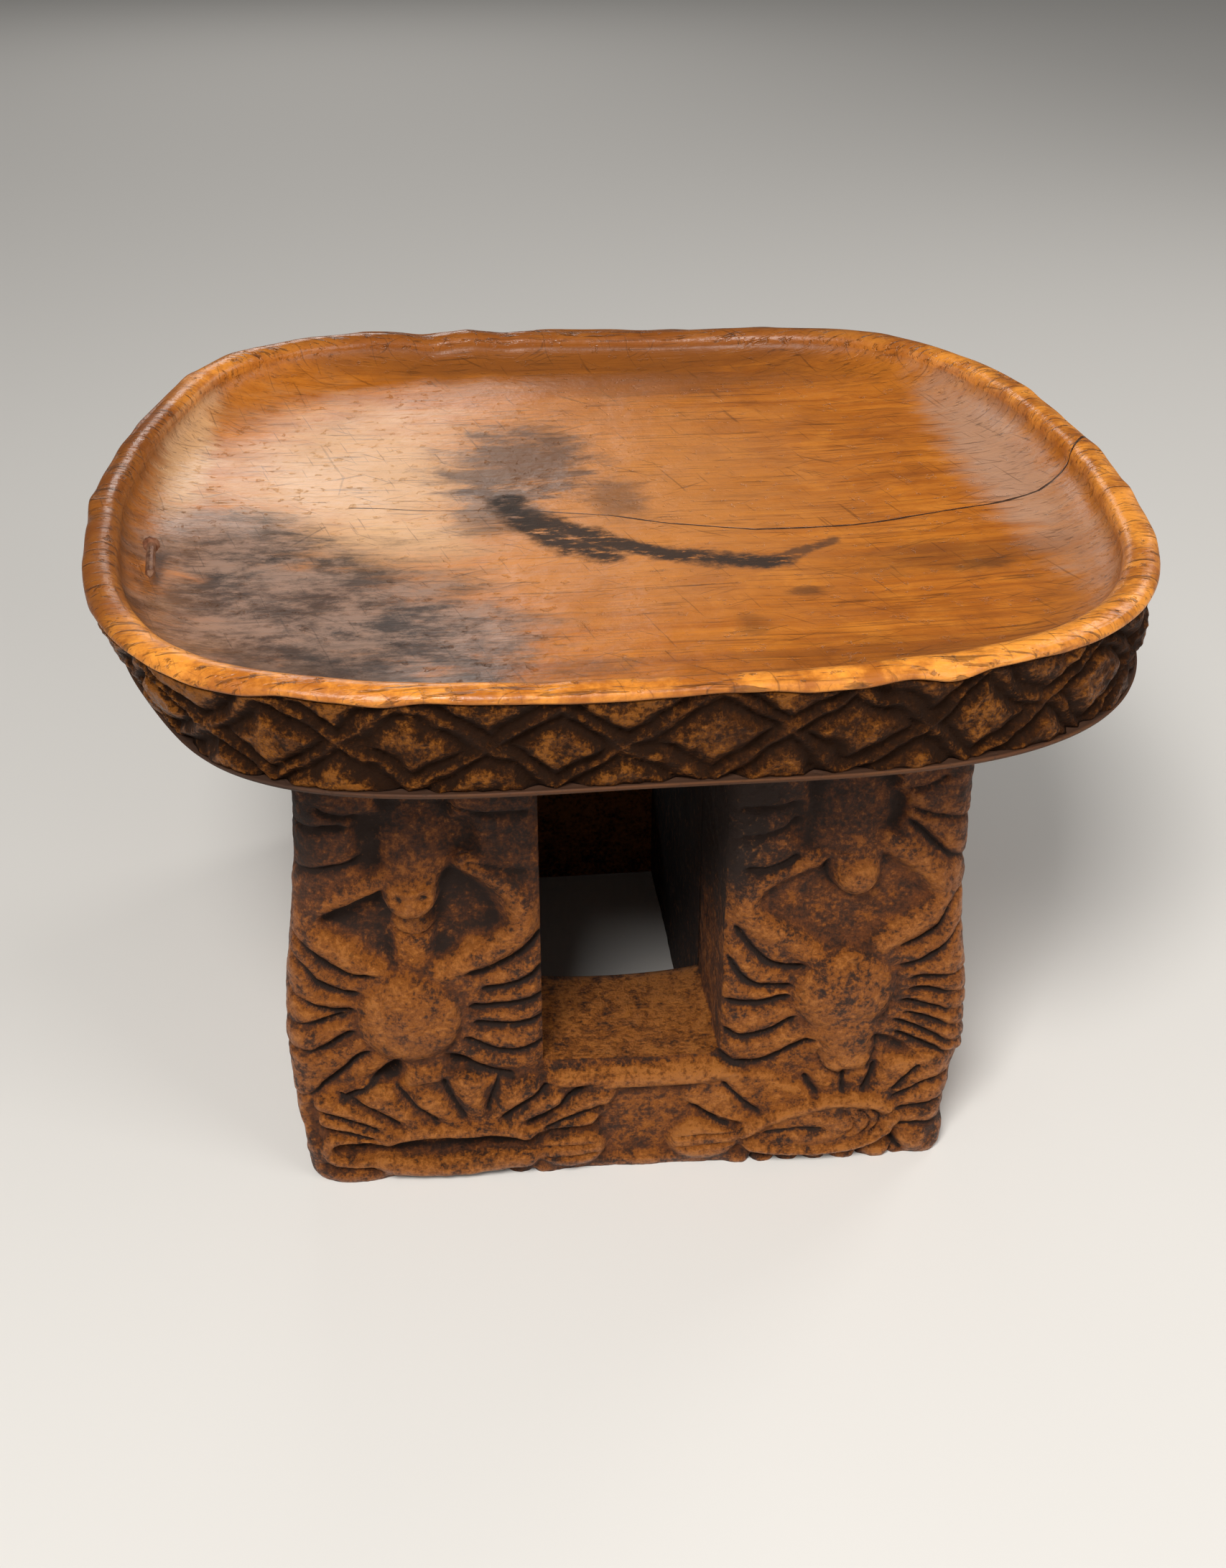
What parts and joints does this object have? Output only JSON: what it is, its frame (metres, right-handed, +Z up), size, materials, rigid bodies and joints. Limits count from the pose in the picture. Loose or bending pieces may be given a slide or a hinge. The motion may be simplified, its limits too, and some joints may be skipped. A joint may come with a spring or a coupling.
{
  "type": "bamileke stool",
  "caption": "Low carved wooden stool: dished rounded-square seat with a lozenge band, on a hollow base with a window and spider-like animal figures in relief.",
  "frame": {"origin": "on the floor under the middle of the seat", "axes": "+Z up, -Y towards the front with the window, +X to the right as seen from the front"},
  "size_m": [0.5, 0.5, 0.312],
  "materials": {
    "seat_wood": "polished by use, amber brown",
    "lattice_wood": "dark, crusted, worn orange on the high points",
    "base_wood": "matt, crusted, dark in the recesses",
    "figure_wood": "worn, tan on the high points, dark in the grooves",
    "nail_iron": "rusted brown iron, worn bright at the head"
  },
  "bodies": {
    "root": {"seat_dish": "seat_wood", "seat_lattice_band": "lattice_wood", "rim_nail": "nail_iron", "left_side_wall": "base_wood", "right_side_wall": "base_wood", "front_sill": "base_wood", "rear_sill": "base_wood", "front_left_post": "base_wood", "front_right_post": "base_wood", "rear_left_post": "base_wood", "rear_right_post": "base_wood", "front_left_head": "figure_wood", "front_left_body": "figure_wood", "front_left_outer_foreleg": "figure_wood", "front_left_inner_foreleg": "figure_wood", "front_left_outer_legs": "figure_wood", "front_left_inner_legs": "figure_wood", "front_left_outer_bands": "figure_wood", "front_left_inner_bands": "figure_wood", "front_left_creature": "figure_wood", "front_left_leaves": "figure_wood", "front_right_head": "figure_wood", "front_right_body": "figure_wood", "front_right_outer_foreleg": "figure_wood", "front_right_inner_foreleg": "figure_wood", "front_right_outer_legs": "figure_wood", "front_right_inner_legs": "figure_wood", "front_right_outer_bands": "figure_wood", "front_right_inner_bands": "figure_wood", "front_right_creature": "figure_wood", "front_right_leaves": "figure_wood", "rear_left_head": "figure_wood", "rear_left_body": "figure_wood", "rear_left_outer_foreleg": "figure_wood", "rear_left_inner_foreleg": "figure_wood", "rear_left_outer_legs": "figure_wood", "rear_left_inner_legs": "figure_wood", "rear_left_outer_bands": "figure_wood", "rear_left_inner_bands": "figure_wood", "rear_left_creature": "figure_wood", "rear_left_leaves": "figure_wood", "rear_right_head": "figure_wood", "rear_right_body": "figure_wood", "rear_right_outer_foreleg": "figure_wood", "rear_right_inner_foreleg": "figure_wood", "rear_right_outer_legs": "figure_wood", "rear_right_inner_legs": "figure_wood", "rear_right_outer_bands": "figure_wood", "rear_right_inner_bands": "figure_wood", "rear_right_creature": "figure_wood", "rear_right_leaves": "figure_wood"}
  },
  "joints": []
}
